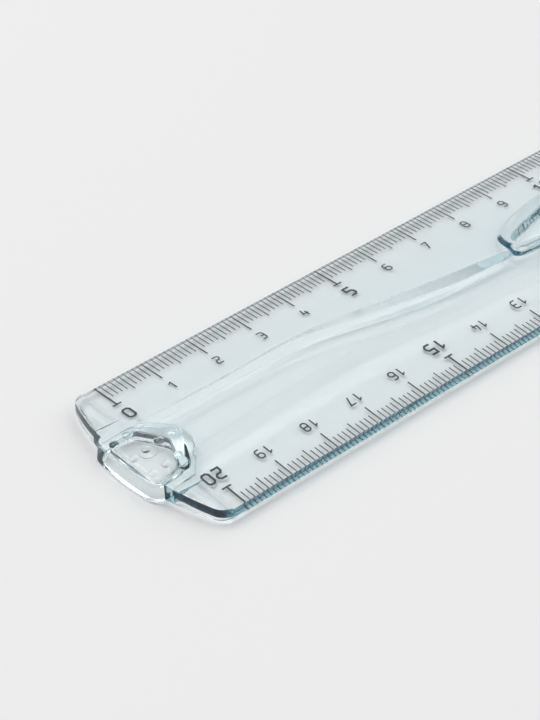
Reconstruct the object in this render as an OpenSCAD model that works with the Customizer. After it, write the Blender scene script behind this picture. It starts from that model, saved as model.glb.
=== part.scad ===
// Clear plastic ruler with a scale along each edge, a finger grip and an end pad at each end

/* [Blade] */
// Length of each printed scale
scale_len = 200; // [100:10:300]
// Distance from the end of a scale to the tip of the bowed end
end_margin = 9.15; // [7:0.05:14]
// Width across the two graduated edges
blade_w = 37.5; // [34:0.5:60]
// Thickness at the graduated edges
edge_t = 1.8; // [1.4:0.1:2.4]
// Height that the top gains from each edge to the centre line
roof_rise = 2.05; // [1.6:0.05:3]
// Radius of the bowed ends
end_r = 45; // [35:1:80]
// Radius of the four corners in plan
corner_r = 3; // [1:0.25:6]
// Gap under the blade when the ruler lies on its pads
lift = 0.5; // [0.3:0.1:2]
// Extra thickness of the land at each end
land_step = 0.3; // [0.1:0.1:0.8]
// Distance from the end of a scale to the land
land_gap = 3.3; // [2:0.1:5]
// Thickness of a land over the hollow in its underside
land_shell_t = 1.8; // [1:0.1:2]
// Wall between that hollow and the bowed end
land_skirt = 0.9; // [0.6:0.1:1.5]
// Wall between that hollow and the pad
land_pad_wall = 1.3; // [0.8:0.1:2.5]

/* [Channels] */
// Thickness of the blade under a channel's floor
channel_floor_t = 2.7; // [1.5:0.1:2.8]
// Width of a channel's floor at its wide end
channel_floor_w = 8.6; // [6:0.2:10]
// Width between a channel's lips at its wide end
channel_lip_w = 12.8; // [11:0.2:14]
// How far a channel swings off the centre line
channel_drift = 7.2; // [4:0.2:9]

/* [End pads] */
// How far a pad stands out past the tip of the blade
pad_proud = 1.5; // [0.5:0.1:4]
// Distance from the centre line of the ruler to the middle of a pad
pad_offset = 0.5; // [0:0.05:1]
// Width of a pad
pad_w = 16; // [14:0.5:20]
// Length of a pad from its front to its shoulders
pad_side_l = 8.9; // [7:0.1:10]
// Length of a pad from its shoulders to its point
pad_point_l = 4.9; // [3:0.1:7]
// Radius of a pad's two front corners
pad_corner_r = 1.7; // [1:0.1:3]
// Radius of a pad's shoulders and point
pad_shoulder_r = 1.6; // [0.5:0.1:2.5]
// Height of a pad at its front
pad_front_h = 3.4; // [3:0.1:5]
// Height of a pad at its point
pad_back_h = 5.3; // [4.4:0.1:7]
// Radius of the crown across a pad's top
pad_crown_r = 110; // [25:1:150]
// Wall round the pocket in a pad's underside
pad_wall = 1.3; // [0.8:0.1:2]
// Thickness of a pad over its pocket
pad_roof_t = 1.8; // [0.8:0.1:2]
// Radius of the pocket's corners
pocket_corner_r = 0.6; // [0.2:0.1:1.5]
// Diameter of a stud
stud_d = 1.7; // [1:0.1:2.2]
// Height of a stud
stud_h = 0.35; // [0.2:0.05:0.8]
// Distance from a pad's front to its first row of studs
stud_front_gap = 2.8; // [2:0.1:3.5]
// Distance between rows of studs
stud_row_pitch = 2.7; // [2.2:0.1:3]
// Distance between studs in a row
stud_col_pitch = 4.7; // [2.5:0.1:5]

/* [Finger grip] */
// Length of the grip
grip_l = 44; // [30:1:60]
// Width of the grip
grip_w = 15.2; // [12:0.2:17]
// Height of the grip above the underside of the blade
grip_h = 4.8; // [4:0.1:8]
// Thickness under the finger recess
grip_floor_t = 2.7; // [1.5:0.1:3.5]

/* [Print] */
// Distance between the finest graduations
mark_pitch = 1; // [1:0.5:2]
// Thickness of the ink
ink_t = 0.06; // [0.04:0.01:0.2]
// Clear margin between the ink and the graduated edge
ink_margin = 0.05; // [0.05:0.05:0.5]
// Length of a finest mark
fine_mark_l = 3.15; // [2:0.05:4]
// Length of a mark at five divisions
half_mark_l = 3.95; // [2:0.05:4.5]
// Length of a mark at ten divisions
cm_mark_l = 5; // [3:0.1:5.5]
// Length of a mark at fifty divisions
main_mark_l = 5.5; // [3:0.1:5.5]
// Line width of a finest mark
fine_line_w = 0.18; // [0.1:0.01:0.3]
// Line width of a mark at five divisions
half_line_w = 0.2; // [0.1:0.01:0.35]
// Line width of a mark at ten divisions
cm_line_w = 0.25; // [0.1:0.01:0.4]
// Line width of a mark at fifty divisions
main_line_w = 0.32; // [0.1:0.01:0.5]
// Length of the bar across the foot of a mark at fifty divisions
main_bar_l = 1.8; // [1:0.1:2.5]
// Height of a plain digit
digit_h = 2.2; // [1.6:0.1:2.4]
// Width of a plain digit
digit_w = 1.35; // [1:0.05:1.6]
// Stroke of a plain digit
digit_pen = 0.26; // [0.15:0.01:0.3]
// Height of a main digit
main_digit_h = 2.85; // [2:0.05:3]
// Width of a main digit
main_digit_w = 1.8; // [1.4:0.05:2]
// Stroke of a main digit
main_digit_pen = 0.4; // [0.2:0.01:0.45]
// Gap between two digits of one number
digit_gap = 0.4; // [0.2:0.05:0.8]
// Gap between a number and the mark that it belongs to
number_gap = 1.55; // [0.8:0.05:1.6]

/* [Hidden] */

clear_tint = [0.80, 0.88, 0.90, 0.55];
pad_tint = [0.72, 0.83, 0.87, 0.6];
ink_tint = [0.17, 0.19, 0.21];

// One overrun serves every cut
overrun = 1;
straight_angle = 180;
// Straight steps in an arc of an outline
arc_steps = 6;
bow_steps = 16;
// Rings of a channel from one station to the next
channel_steps = 4;

tip_x = scale_len / 2 + end_margin;
land_x = scale_len / 2 + land_gap;
ridge_z = lift + edge_t + roof_rise;
blade_top_z = ridge_z + land_step;

pad_tip_x = tip_x + pad_proud;
pad_shoulder_x = pad_tip_x - pad_side_l;
pad_point_x = pad_shoulder_x - pad_point_l;
pad_slant = atan2(pad_point_l, pad_w / 2);
hollow_y = pad_w / 2 + pad_offset + land_pad_wall;
hollow_corner_r = max(corner_r - land_skirt, pocket_corner_r);
pad_tilt = atan2(pad_back_h - pad_front_h, pad_tip_x - pad_point_x);
stud_ball_r = (pow(stud_d / 2, 2) + pow(stud_h, 2)) / (2 * stud_h);
stud_seat = pad_roof_t / 2;
stud_rows = 3;
stud_cols = [-1, 0, 1];

channel_floor_z = lift + channel_floor_t;
channel_top_z = blade_top_z + overrun;

divisions = round(scale_len / mark_pitch);

// Outlines

function arc(c, r, a0, a1, steps) = [
    for (i = [0:steps]) let (a = a0 + (a1 - a0) * i / steps) c + r * [cos(a), sin(a)]
];
function inner(list) = [for (i = [1:len(list) - 2]) list[i]];
function reversed(list) = [for (i = [len(list) - 1:-1:0]) list[i]];
function half_turned(list) = [for (p = list) -p];
function unit(v) = v / norm(v);
function left_of(v) = [-v.y, v.x];

// Bowed front between two sides, with a fillet into each side
function bow(front_x, half_w, r, fillet_r) =
    let (
        rise = half_w - fillet_r,
        reach = r - fillet_r,
        run = sqrt(reach * reach - rise * rise),
        a = asin(rise / reach),
        c = [front_x - r, 0]
    )
    concat(
        arc(c + [run, -rise], fillet_r, -90, -a, arc_steps),
        inner(arc(c, r, -a, a, bow_steps)),
        arc(c + [run, rise], fillet_r, a, 90, arc_steps)
    );

// Fillet at corner p of an outline that runs anticlockwise from a through p to b
function fillet(a, p, b, r) =
    let (
        u = unit(a - p),
        v = unit(b - p),
        half = acos(u * v) / 2,
        c = p + unit(u + v) * r / sin(half),
        start = p + u * r / tan(half) - c,
        a0 = atan2(start.y, start.x)
    )
    arc(c, r, a0, a0 + straight_angle - 2 * half, arc_steps);

function blade_outline() =
    let (end = bow(tip_x, blade_w / 2, end_r, corner_r)) concat(end, half_turned(end));

// Outline of the right pad, drawn in by inset
function pad_outline(inset, corner, shoulder) =
    let (
        half_w = pad_w / 2 - inset,
        point = [pad_point_x + inset / cos(pad_slant), 0],
        upper = [point.x + half_w * tan(pad_slant), half_w],
        lower = [upper.x, -half_w],
        front = bow(pad_tip_x - inset, half_w, end_r + pad_proud - inset, corner)
    )
    concat(
        front,
        fillet([pad_tip_x, half_w], upper, point, shoulder),
        fillet(upper, point, lower, shoulder),
        fillet(point, lower, [pad_tip_x, -half_w], shoulder)
    );

// Half of the grip's outline and of its recess, as shares of half its length and half its width,
// from the middle of the upper side round the left nose
grip_rim_shares = [
    [0, 1], [-0.2, 0.98], [-0.4, 0.92], [-0.6, 0.81], [-0.75, 0.67], [-0.87, 0.5], [-0.95, 0.33],
    [-0.99, 0.14], [-1, -0.06], [-0.99, -0.24], [-0.965, -0.37], [-0.9, -0.45], [-0.75, -0.5],
    [-0.6, -0.59], [-0.4, -0.75], [-0.2, -0.9]
];
grip_recess_shares = [
    [0, 0.66], [-0.2, 0.57], [-0.4, 0.43], [-0.6, 0.29], [-0.75, 0.19], [-0.86, 0.1], [-0.92, -0.02],
    [-0.93, -0.16], [-0.89, -0.28], [-0.75, -0.36], [-0.6, -0.42], [-0.4, -0.52], [-0.2, -0.61]
];
function grip_outline(shares) =
    let (half = [for (s = shares) [s.x * grip_l / 2, s.y * grip_w / 2]]) concat(half, half_turned(half));

// Channel

// Stations along the left channel: place as a share of the run from the middle to the pad's
// shoulders, centre and half width of the floor, centre and half width between the lips,
// and how far the floor has climbed out of the blade
channel_shares = [
    [1, 0, 1, 0, 1, 0],
    [0.85, 0, 0.84, 0, 0.91, 0],
    [0.7, 0, 0.77, 0, 0.92, 0],
    [0.6, 0.12, 0.56, 0.06, 0.88, 0],
    [0.5, 0.36, 0.42, 0.26, 0.82, 0],
    [0.4, 0.57, 0.32, 0.47, 0.77, 0],
    [0.3, 0.64, 0.37, 0.64, 0.7, 0],
    [0.2, 0.79, 0.4, 0.82, 0.62, 0],
    [0.1, 0.97, 0.12, 1, 0.28, 0],
    [0.04, 1, 0.06, 1, 0.1, 1]
];

function roof_z(y) = ridge_z - roof_rise * abs(y) / (blade_w / 2);

// Side of a channel's wall, carried on past its lip to the top of the cut
function wall_top_y(floor_y, lip_y) =
    floor_y + (lip_y - floor_y) * (channel_top_z - channel_floor_z) / (roof_z(lip_y) - channel_floor_z);

function channel_ring(s) =
    let (
        x = -s[0] * pad_shoulder_x,
        floor_y = -s[1] * channel_drift,
        floor_half = s[2] * channel_floor_w / 2,
        lip_y = -s[3] * channel_drift,
        lip_half = s[4] * channel_lip_w / 2,
        z = channel_floor_z + max(s[5], 0) * (ridge_z - channel_floor_z)
    )
    [
        [x, floor_y - floor_half, z],
        [x, floor_y + floor_half, z],
        [x, wall_top_y(floor_y + floor_half, lip_y + lip_half), channel_top_z],
        [x, wall_top_y(floor_y - floor_half, lip_y - lip_half), channel_top_z]
    ];

// Point at share t of the way from row b to row c of a table, on a smooth curve through its rows
function smooth_row(a, b, c, d, t) =
    b + (c - a) * t / 2 + (2 * a - 5 * b + 4 * c - d) * t * t / 2 + (3 * b - a - 3 * c + d) * t * t * t / 2;

function smooth_rows(table, steps) =
    let (last = len(table) - 1)
    concat(
        [
            for (i = [0:last - 1], k = [0:steps - 1])
                smooth_row(table[max(i - 1, 0)], table[i], table[i + 1], table[min(i + 2, last)], k / steps)
        ],
        [table[last]]
    );

module channel_cut() {
    rings = [for (s = smooth_rows(channel_shares, channel_steps)) channel_ring(s)];
    sides = len(rings[0]);
    last = len(rings) - 1;
    polyhedron(
        points = [for (ring = rings) each ring],
        faces = concat(
            [[for (j = [0:sides - 1]) j]],
            [for (i = [0:last - 1], j = [0:sides - 1]) let (k = (j + 1) % sides)
                [i * sides + j, (i + 1) * sides + j, (i + 1) * sides + k]],
            [for (i = [0:last - 1], j = [0:sides - 1]) let (k = (j + 1) % sides)
                [i * sides + j, (i + 1) * sides + k, i * sides + k]],
            [[for (j = [sides - 1:-1:0]) last * sides + j]]
        )
    );
}

// Pieces

// Roof-shaped section between two places along the ruler, raised by step and closed below at bottom
module roof_bar(x0, x1, step, bottom = lift) {
    translate([x0, 0, 0])
        rotate([90, 0, 90])
            linear_extrude(height = x1 - x0)
                polygon([
                    [-blade_w / 2 - overrun, bottom],
                    [blade_w / 2 + overrun, bottom],
                    [blade_w / 2 + overrun, roof_z(blade_w / 2 + overrun) + step],
                    [0, ridge_z + step],
                    [-blade_w / 2 - overrun, roof_z(blade_w / 2 + overrun) + step]
                ]);
}

module both_ends() {
    children();
    rotate([0, 0, 180]) children();
}

// Space under the two lands of the right end, either side of its pad
module land_hollows() {
    difference() {
        intersection() {
            linear_extrude(height = blade_top_z)
                polygon(bow(tip_x - land_skirt, blade_w / 2 - land_skirt, end_r - land_skirt, hollow_corner_r));
            roof_bar(land_x, tip_x, land_step - land_shell_t, lift - overrun);
        }
        translate([0, -hollow_y, -overrun]) cube([tip_x, 2 * hollow_y, blade_top_z + 2 * overrun]);
    }
}

module blade() {
    color(clear_tint)
        difference() {
            intersection() {
                linear_extrude(height = blade_top_z + overrun) polygon(blade_outline());
                union() {
                    roof_bar(-tip_x - overrun, tip_x + overrun, 0);
                    both_ends() roof_bar(land_x, tip_x + overrun, land_step);
                }
            }
            both_ends() channel_cut();
            both_ends() land_hollows();
            both_ends()
                translate([0, pad_offset, 0])
                    pad_block(pad_outline(0, pad_corner_r, pad_shoulder_r), blade_top_z + overrun, overrun);
            translate([0, 0, -overrun])
                linear_extrude(height = blade_top_z + 2 * overrun) polygon(grip_outline(grip_rim_shares));
        }
}

module pad_block(outline, top, below) {
    translate([0, 0, -below]) linear_extrude(height = top + below) polygon(outline);
}

// Tilted, crowned space that a pad's top is cut from, lowered by drop
module pad_crown(drop) {
    translate([pad_tip_x, 0, pad_front_h - drop])
        rotate([0, pad_tilt, 0])
            translate([pad_side_l, 0, -pad_crown_r])
                rotate([0, -90, 0])
                    cylinder(r = pad_crown_r, h = 3 * pad_side_l, $fn = 180);
}

function pad_top_z(x, y) =
    pad_front_h + (pad_tip_x - x) * tan(pad_tilt)
        - (pad_crown_r - sqrt(pad_crown_r * pad_crown_r - y * y)) / cos(pad_tilt);

module stud(x, y) {
    translate([x, y, pad_top_z(x, y)])
        intersection() {
            translate([0, 0, stud_h - stud_ball_r]) sphere(r = stud_ball_r, $fn = 48);
            translate([0, 0, -stud_seat]) cylinder(d = stud_d, h = stud_seat + stud_h + overrun, $fn = 48);
        }
}

module right_pad() {
    difference() {
        intersection() {
            pad_block(pad_outline(0, pad_corner_r, pad_shoulder_r), pad_back_h + overrun, 0);
            pad_crown(0);
        }
        intersection() {
            pad_block(pad_outline(pad_wall, pocket_corner_r, pocket_corner_r), pad_back_h, overrun);
            pad_crown(pad_roof_t);
        }
    }
    for (row = [0:stud_rows - 1], col = stud_cols)
        stud(pad_tip_x - stud_front_gap - row * stud_row_pitch, col * stud_col_pitch);
    stud(pad_tip_x - stud_front_gap - stud_rows * stud_row_pitch, 0);
}

module left_end_pad() {
    rotate([0, 0, 180]) right_end_pad();
}

module right_end_pad() {
    color(pad_tint) translate([0, pad_offset, 0]) right_pad();
}

module finger_grip() {
    color(pad_tint)
        difference() {
            translate([0, 0, lift]) linear_extrude(height = grip_h) polygon(grip_outline(grip_rim_shares));
            translate([0, 0, lift + grip_floor_t])
                linear_extrude(height = grip_h) polygon(grip_outline(grip_recess_shares));
        }
}

// Graduations

function mark_kind(i) = i % 50 == 0 ? "main" : i % 10 == 0 ? "cm" : i % 5 == 0 ? "half" : "fine";

// All marks of one kind on the upper scale
module marks(kind, mark_l, line_w, bar_l) {
    translate([-scale_len / 2, blade_w / 2 - ink_margin - mark_l, lift - ink_t])
        for (i = [0:divisions])
            if (mark_kind(i) == kind)
                translate([i * mark_pitch, 0, 0])
                    linear_extrude(height = ink_t) {
                        translate([-line_w / 2, 0]) square([line_w, mark_l]);
                        if (bar_l > 0) translate([-bar_l / 2, 0]) square([bar_l, line_w]);
                    }
}

// Numbers

// Rings and strokes of the digits 0 to 9: centre lines in shares of a digit's width and height
tall_ring_shares = [[0.25, 0], [0.75, 0], [1, 0.16], [1, 0.84], [0.75, 1], [0.25, 1], [0, 0.84], [0, 0.16]];
low_ring_shares = [[0.25, 0], [0.75, 0], [1, 0.16], [1, 0.4], [0.75, 0.56], [0.25, 0.56], [0, 0.4], [0, 0.16]];
function turned_shares(shares) = [for (s = shares) [1 - s.x, 1 - s.y]];
hook_shares = [[0.9, 1], [0.25, 1], [0, 0.84], [0, 0.28]];
digit_ring_shares = [
    [tall_ring_shares], [], [], [], [], [], [low_ring_shares], [], [tall_ring_shares],
    [turned_shares(low_ring_shares)]
];
digit_stroke_shares = [
    [],
    [[[0.6, 0], [0.6, 1]], [[0.1, 0.72], [0.6, 0.92]]],
    [[[0, 1], [0.75, 1], [1, 0.84], [1, 0.66], [0.75, 0.5], [0.25, 0.5], [0, 0.34], [0, 0], [1, 0]]],
    [[[0, 1], [0.75, 1], [1, 0.84], [1, 0.16], [0.75, 0], [0, 0]], [[0.3, 0.52], [1, 0.52]]],
    [[[0.2, 1], [0, 0.34], [1, 0.34]], [[0.7, 0.68], [0.7, 0]]],
    [[[1, 1], [0, 1], [0, 0.56], [0.75, 0.56], [1, 0.4], [1, 0.16], [0.75, 0], [0, 0]]],
    [hook_shares],
    [[[0, 1], [1, 1], [0.35, 0]]],
    [[[0, 0.52], [1, 0.52]]],
    [turned_shares(hook_shares)]
];

// Line beside a path, at distance d to its left, with mitred corners
function beside(path, d, closed) =
    let (last = len(path) - 1)
    [
        for (i = [0:last])
            let (
                before = i > 0 ? path[i - 1] : closed ? path[last] : 2 * path[0] - path[1],
                after = i < last ? path[i + 1] : closed ? path[0] : 2 * path[last] - path[last - 1],
                n = left_of(unit(path[i] - before)),
                m = unit(n + left_of(unit(after - path[i])))
            )
            path[i] + m * d / (m * n)
    ];

module stroke(path, pen) {
    polygon(concat(beside(path, pen / 2, false), reversed(beside(path, -pen / 2, false))));
}

module ring(path, pen) {
    difference() {
        polygon(beside(path, -pen / 2, true));
        polygon(beside(path, pen / 2, true));
    }
}

// One digit, with its lower left corner at the origin
module digit(n, w, h, pen) {
    size = [w - pen, h - pen];
    translate([pen / 2, pen / 2]) {
        for (shares = digit_ring_shares[n]) ring([for (s = shares) [s.x * size.x, s.y * size.y]], pen);
        for (shares = digit_stroke_shares[n]) stroke([for (s = shares) [s.x * size.x, s.y * size.y]], pen);
    }
}

function digits_of(n) = n < 10 ? [n] : [floor(n / 10), n % 10];

// A number centred on x = 0, with its foot on y = 0
module number(n, w, h, pen) {
    list = digits_of(n);
    pitch = w + digit_gap;
    for (i = [0:len(list) - 1])
        translate([i * pitch - (w + (len(list) - 1) * pitch) / 2, 0]) digit(list[i], w, h, pen);
}

// All numbers of one size on the upper scale
module numbers(is_main, mark_l, w, h, pen) {
    translate([-scale_len / 2, blade_w / 2 - ink_margin - mark_l - number_gap - h, lift - ink_t])
        for (i = [0:10:divisions])
            if ((mark_kind(i) == "main") == is_main)
                translate([i * mark_pitch, 0, 0]) linear_extrude(height = ink_t) number(i / 10, w, h, pen);
}

module plain_numbers() {
    numbers(false, cm_mark_l, digit_w, digit_h, digit_pen);
}

module main_numbers() {
    numbers(true, main_mark_l, main_digit_w, main_digit_h, main_digit_pen);
}

module upper_fine_marks() {
    color(ink_tint) marks("fine", fine_mark_l, fine_line_w, 0);
}

module upper_half_marks() {
    color(ink_tint) marks("half", half_mark_l, half_line_w, 0);
}

module upper_cm_marks() {
    color(ink_tint) marks("cm", cm_mark_l, cm_line_w, 0);
}

module upper_main_marks() {
    color(ink_tint) marks("main", main_mark_l, main_line_w, main_bar_l);
}

module upper_numbers() {
    color(ink_tint) plain_numbers();
}

module upper_main_numbers() {
    color(ink_tint) main_numbers();
}

module lower_fine_marks() {
    rotate([0, 0, 180]) upper_fine_marks();
}

module lower_half_marks() {
    rotate([0, 0, 180]) upper_half_marks();
}

module lower_cm_marks() {
    rotate([0, 0, 180]) upper_cm_marks();
}

module lower_main_marks() {
    rotate([0, 0, 180]) upper_main_marks();
}

module lower_numbers() {
    rotate([0, 0, 180]) upper_numbers();
}

module lower_main_numbers() {
    rotate([0, 0, 180]) upper_main_numbers();
}

blade();
left_end_pad();
right_end_pad();
finger_grip();
upper_fine_marks();
upper_half_marks();
upper_cm_marks();
upper_main_marks();
upper_numbers();
upper_main_numbers();
lower_fine_marks();
lower_half_marks();
lower_cm_marks();
lower_main_marks();
lower_numbers();
lower_main_numbers();
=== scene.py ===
"""Clear plastic ruler: moulded blade, two studded end pads, finger grip and printed scales."""

import math

import bmesh
import bpy
import numpy as np
from mathutils import Matrix, Vector, geometry


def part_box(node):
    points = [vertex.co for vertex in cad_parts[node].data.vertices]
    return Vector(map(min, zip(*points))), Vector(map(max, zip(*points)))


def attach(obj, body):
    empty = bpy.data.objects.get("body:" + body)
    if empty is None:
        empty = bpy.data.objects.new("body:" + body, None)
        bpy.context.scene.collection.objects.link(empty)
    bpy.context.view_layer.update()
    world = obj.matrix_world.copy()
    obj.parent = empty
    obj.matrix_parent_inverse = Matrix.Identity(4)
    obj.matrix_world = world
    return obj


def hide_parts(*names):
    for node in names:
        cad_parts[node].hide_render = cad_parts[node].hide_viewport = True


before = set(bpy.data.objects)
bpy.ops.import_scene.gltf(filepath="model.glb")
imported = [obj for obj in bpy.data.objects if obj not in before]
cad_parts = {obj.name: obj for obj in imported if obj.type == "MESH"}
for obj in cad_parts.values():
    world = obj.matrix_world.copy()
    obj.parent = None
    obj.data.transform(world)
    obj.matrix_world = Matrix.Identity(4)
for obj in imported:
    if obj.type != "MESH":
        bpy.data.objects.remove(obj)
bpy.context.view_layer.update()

# Metres in a millimetre
MM = 0.001

# Driving sizes in millimetres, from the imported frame
blade_low, blade_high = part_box("blade")
pad_low, pad_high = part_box("left_end_pad")
_, grip_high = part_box("finger_grip")
HALF_W = blade_high.y / MM
LIFT = blade_low.z / MM
PAD_TIP_X = -pad_low.x / MM
PAD_PROUD = 1.5
TIP_X = PAD_TIP_X - PAD_PROUD
PAD_POINT_X = -pad_high.x / MM
PAD_Y = (pad_low.y + pad_high.y) / 2 / MM
PAD_HALF_W = (pad_high.y - pad_low.y) / 2 / MM
GRIP_HALF_L = grip_high.x / MM
GRIP_HALF_W = grip_high.y / MM
GRIP_TOP_Z = grip_high.z / MM

# Looks: the floor's distance under the soles in millimetres, the longest light path, the roughness
# of a frosted face, the sky's level by the height of its direction, and its share on the camera's side
FLOOR_GAP = 0.04
LONG_PATH = 96
FROST = 0.1
SKY = ((0.0, 0.25), (0.12, 0.5), (0.33, 0.75), (0.5, 0.65), (0.72, 0.95), (0.85, 1.25), (1.0, 1.25))
FRONT_SHADE = 0.6
FRONT_WAY = (-0.683, -0.73, 0)
FLOOR_GREY = 0.86
IOR = 1.55
POLISH = 0.02
WAVE_STRENGTH = 0.15
WAVE_HEIGHT = 0.00002
ABSORBED_TO = (0.07, 0.57, 0.67, 1)
ABSORPTION = 30
INK_DARK = (0.016, 0.02, 0.024, 1)
INK_LIGHT = (0.03, 0.036, 0.042, 1)

# Camera: way it looks and its roll in degrees, the point it looks at and its distance in millimetres
CAMERA_AZIMUTH = 43.104
CAMERA_ELEVATION = 38.205
CAMERA_ROLL = 0.988
CAMERA_TARGET = (-72.172, 6.791)
CAMERA_DISTANCE = 382.969
CAMERA_SENSOR = 36
CAMERA_LENS = 113.36

# Blade: edge, roof and outline
EDGE_T = 1.83
ROOF_SLOPE = 0.109
ROOF_ROUND = 0.6
END_R = 45
CORNER_R = 3
EDGE_ROUND = 0.13
UNDER_Z = LIFT - 0.02

# Lands: where they start, how the step rises from the middle outwards, and the hollows under them
LAND_X = TIP_X - 5.9
LAND_STEP = 0.3
LAND_BEFORE, LAND_AFTER = 0.3, 0.35
LAND_FROM_Y, LAND_RUN_Y = 7, 9
SHELL_T = 1.78
SKIRT = 0.9
HOLLOW_X = -101.8
HOLLOW_Y = 9.8
HOLLOW_RAMP = 6.2
HOLLOW_EDGE = ((0, 0), (0.03, 0.5), (0.08, 0.85), (0.2, 1))
LEAST_DEPTH = 0.02

# Floor of the channels and the grip, and how far pieces lap at a joint
FLOOR_Z = LIFT + 2.7
JOINT_LAP = 0.02

# Meshes: how near counts as level, bend of a sharp edge, and spacing of points
LEVEL_GAP = 1e-3
SHARP = math.radians(50)
BLADE_GRID, BLADE_GRID_RIM, BLADE_GRID_APART = 0.8, 0.4, 0.42
FEATURE_APART, FEATURE_RIM = 0.08, 0.09
HOLLOW_GRID, HOLLOW_GRID_RIM = 0.35, 0.2
PLAN_GAP = 0.3
EDGE_GAP = 1.6


# Small mathematics

def smin(a, b, k):
    """The lesser of a and b, rounded over k"""
    return (a + b - np.sqrt((a - b) ** 2 + k * k)) / 2


def smax(a, b, k):
    """The greater of a and b, rounded over k"""
    return (a + b + np.sqrt((a - b) ** 2 + k * k)) / 2


def smoothstep(x, low, high):
    """0 up to low, 1 from high, smooth between"""
    t = np.clip((x - low) / (high - low), 0, 1)
    return t * t * (3 - 2 * t)


def hermite(table, x):
    """Columns of a table at x, on smooth curves through its rows, whose first column is x"""
    table = np.array(table, float)
    xs, ys = table[:, 0], table[:, 1:]
    slope = np.gradient(ys, xs, axis=0)
    i = np.clip(np.searchsorted(xs, x) - 1, 0, len(xs) - 2)
    h = xs[i + 1] - xs[i]
    t = np.clip((x - xs[i]) / h, 0, 1)[..., None]
    h = h[..., None]
    return (
        ys[i] * (1 + 2 * t) * (1 - t) ** 2
        + slope[i] * h * t * (1 - t) ** 2
        + ys[i + 1] * t * t * (3 - 2 * t)
        + slope[i + 1] * h * t * t * (t - 1)
    )


def arc(centre, radius, a0, a1, steps):
    """Points of an arc between two angles in degrees"""
    a = np.radians(np.linspace(a0, a1, steps + 1))
    return np.array(centre) + radius * np.stack([np.cos(a), np.sin(a)], axis=1)


def line(a, b, gap):
    """Points from a to b, about gap apart"""
    n = max(1, int(round(math.dist(a, b) / gap)))
    t = np.linspace(0, 1, n + 1)[:, None]
    return np.array(a) * (1 - t) + np.array(b) * t


def joined(*paths):
    """Paths one after another, without doubled points"""
    points = np.vstack(paths)
    keep = np.r_[True, np.linalg.norm(np.diff(points, axis=0), axis=1) > 1e-4]
    return points[keep]


def normals_of(loop):
    """Outward unit normals of an anticlockwise closed loop"""
    ahead = np.roll(loop, -1, axis=0) - loop
    back = loop - np.roll(loop, 1, axis=0)
    t = ahead / np.linalg.norm(ahead, axis=1)[:, None] + back / np.linalg.norm(back, axis=1)[:, None]
    t /= np.linalg.norm(t, axis=1)[:, None]
    return np.stack([t[:, 1], -t[:, 0]], axis=1)


def inside(points, loop):
    """Whether each point is inside a closed loop"""
    x, y = points[:, 0][:, None], points[:, 1][:, None]
    ax, ay = loop[:, 0], loop[:, 1]
    bx, by = np.roll(ax, -1), np.roll(ay, -1)
    result = np.zeros(len(points), bool)
    for s in range(0, len(points), 4000):
        e = s + 4000
        straddles = (ay > y[s:e]) != (by > y[s:e])
        with np.errstate(divide="ignore", invalid="ignore"):
            cross_x = (bx - ax) * (y[s:e] - ay) / (by - ay) + ax
        result[s:e] = (straddles & (x[s:e] < cross_x)).sum(axis=1) % 2 == 1
    return result


def nearest(points, path, values=None, closed=True):
    """Distance from each point to a path, and the path's values at the nearest place"""
    a = path if closed else path[:-1]
    b = np.roll(path, -1, axis=0) if closed else path[1:]
    va = None if values is None else (values if closed else values[:-1])
    vb = None if values is None else (np.roll(values, -1) if closed else values[1:])
    ab = b - a
    square = (ab * ab).sum(axis=1)
    distance = np.empty(len(points))
    value = np.empty(len(points))
    for s in range(0, len(points), 3000):
        p = points[s:s + 3000, None, :]
        t = np.clip(((p - a) * ab).sum(axis=2) / square, 0, 1)
        gap = np.linalg.norm(p - a - t[..., None] * ab, axis=2)
        j = gap.argmin(axis=1)
        i = np.arange(len(j))
        distance[s:s + 3000] = gap[i, j]
        if values is not None:
            value[s:s + 3000] = va[j] * (1 - t[i, j]) + vb[j] * t[i, j]
    return (distance, value) if values is not None else distance


# Plan of the left end pad, in its own axes: the middle of the ruler lies towards +X

# The front is bowed and the mouths are where the blade's end meets the pad's sides. Leans are per
# millimetre of height, and the slanted sides lean more above the blade. The rounding round the top
# grows by no more than its change from one point to the next.
PAD_TIP_GAP = 0.03
PAD_FRONT_R = END_R + PAD_TIP_X - TIP_X
PAD_FRONT_HALF = PAD_HALF_W + 0.1
PAD_SHOULDER = (-101.65, PAD_HALF_W - 0.5)
PAD_APEX_X = -PAD_POINT_X + 1.9
PAD_CORNER_R = 1.9
PAD_SHOULDER_R = 3.2
PAD_APEX_R = 4.2
MOUTH_Y = 7.9
MOUTH_APART = 0.1
FAR_SIDE = 6
SIDE_LEAN = 0.08
SLANT_LEAN = 0.1
PAD_ROUND = 0.7
LEAST_ROUND = 0.08
ROUND_SPARE = 0.02
PAD_CENTRE_X = -105.47
PAD_CENTRE_T = 3.7
PAD_RISE, PAD_BOW, PAD_CROWN = 0.17, 0.004, 0.001
SLANT_LEAN_ABOVE = 0.85
SLANTWISE = (0.1, 0.7)
ROUNDING_RUN = 20
ROUNDING_CHANGE = 0.05


def unit(v):
    """The vector at length 1"""
    return np.array(v) / np.linalg.norm(v)


def corner_fillet(a, p, b, r, steps):
    """Fillet at p of a path that runs from a to b and turns right"""
    u, v = unit(np.subtract(a, p)), unit(np.subtract(b, p))
    half = math.acos(np.clip(u @ v, -1, 1)) / 2
    centre = np.array(p) + unit(u + v) * r / math.sin(half)
    start = np.array(p) + u * r / math.tan(half) - centre
    a0 = math.degrees(math.atan2(start[1], start[0]))
    return arc(centre, r, a0, a0 - 180 + 2 * math.degrees(half), steps)


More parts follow.
